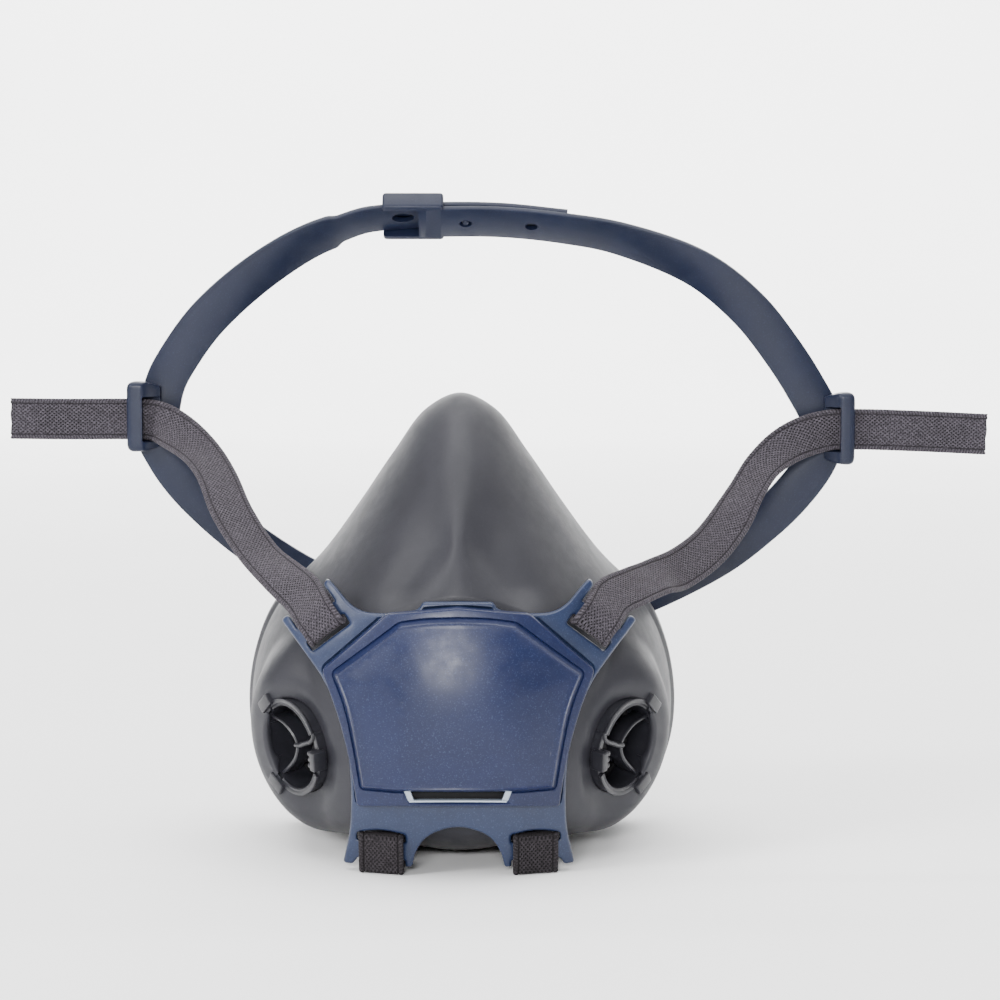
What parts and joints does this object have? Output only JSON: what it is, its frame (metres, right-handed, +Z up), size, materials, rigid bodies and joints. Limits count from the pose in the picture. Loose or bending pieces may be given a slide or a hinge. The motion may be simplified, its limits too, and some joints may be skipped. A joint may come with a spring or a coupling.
{
  "type": "half-mask respirator",
  "caption": "Reusable half-mask respirator with moulded rubber facepiece, hinged exhalation cover, bayonet filter ports, elastic straps and adjustable head harness ring.",
  "frame": {"origin": "middle of the flat under the chin, in the mask's plane of symmetry, on the surface that the mask stands on", "axes": "+Z up, -Y the way the mask looks, +X to the right of someone who faces the mask"},
  "size_m": [0.3136, 0.203, 0.1987],
  "materials": {
    "face_rubber": "satin moulded thermoplastic rubber, dark neutral grey",
    "housing_plastic": "moulded, light grey",
    "valve_rubber": "thin translucent cream silicone",
    "yoke_plastic": "satin moulded, steel blue",
    "cover_plastic": "pearly moulded blue with a soft sheen",
    "port_plastic": "black moulded, semi-matte",
    "gasket_rubber": "black soft seal",
    "elastic": "knitted elastic webbing, warm grey with dark flecks",
    "harness_plastic": "flexible moulded band, slate blue"
  },
  "bodies": {
    "mask": {"facepiece": "face_rubber", "valve_housing": "housing_plastic", "harness_yoke": "yoke_plastic", "port_housing_left": "port_plastic", "port_housing_right": "port_plastic", "port_gasket_left": "gasket_rubber", "port_gasket_right": "gasket_rubber", "port_retainer_left": "port_plastic", "port_retainer_right": "port_plastic", "neck_strap_left": "elastic", "neck_strap_right": "elastic", "neck_clasp_hook": "port_plastic", "neck_clasp_loop": "port_plastic"},
    "cover": {"exhalation_cover": "cover_plastic"},
    "exhalation_valve": {"exhalation_flap": "valve_rubber"},
    "inhalation_valve_left": {"inhalation_flap_left": "gasket_rubber"},
    "inhalation_valve_right": {"inhalation_flap_right": "gasket_rubber"},
    "head_harness": {"upper_strap_left": "elastic", "upper_strap_right": "elastic", "back_band": "harness_plastic", "crown_band_left": "harness_plastic", "crown_band_right": "harness_plastic"}
  },
  "joints": [
    {"name": "cover_open", "type": "hinge", "parent": "mask", "child": "cover", "pos_m": [0, -0.0429, 0.0784], "axis": [-1, 0, 0], "range_deg": [0, 35]},
    {"name": "exhalation_flap_lift", "type": "slide", "parent": "mask", "child": "exhalation_valve", "axis": [0, -1, 0], "range_m": [0, 0.0015], "stiffness_N_per_m": 40},
    {"name": "inhalation_flap_lift_left", "type": "slide", "parent": "mask", "child": "inhalation_valve_left", "axis": [0.7888, 0.5944, 0.1564], "range_m": [0, 0.0015], "stiffness_N_per_m": 40},
    {"name": "inhalation_flap_lift_right", "type": "slide", "parent": "mask", "child": "inhalation_valve_right", "axis": [-0.7888, 0.5944, 0.1564], "range_m": [0, 0.0015], "stiffness_N_per_m": 40},
    {"name": "harness_swing", "type": "hinge", "parent": "mask", "child": "head_harness", "pos_m": [0, -0.031, 0.072], "axis": [1, 0, 0], "range_deg": [-20, 75], "deforming": ["upper_strap_left", "upper_strap_right"]}
  ]
}
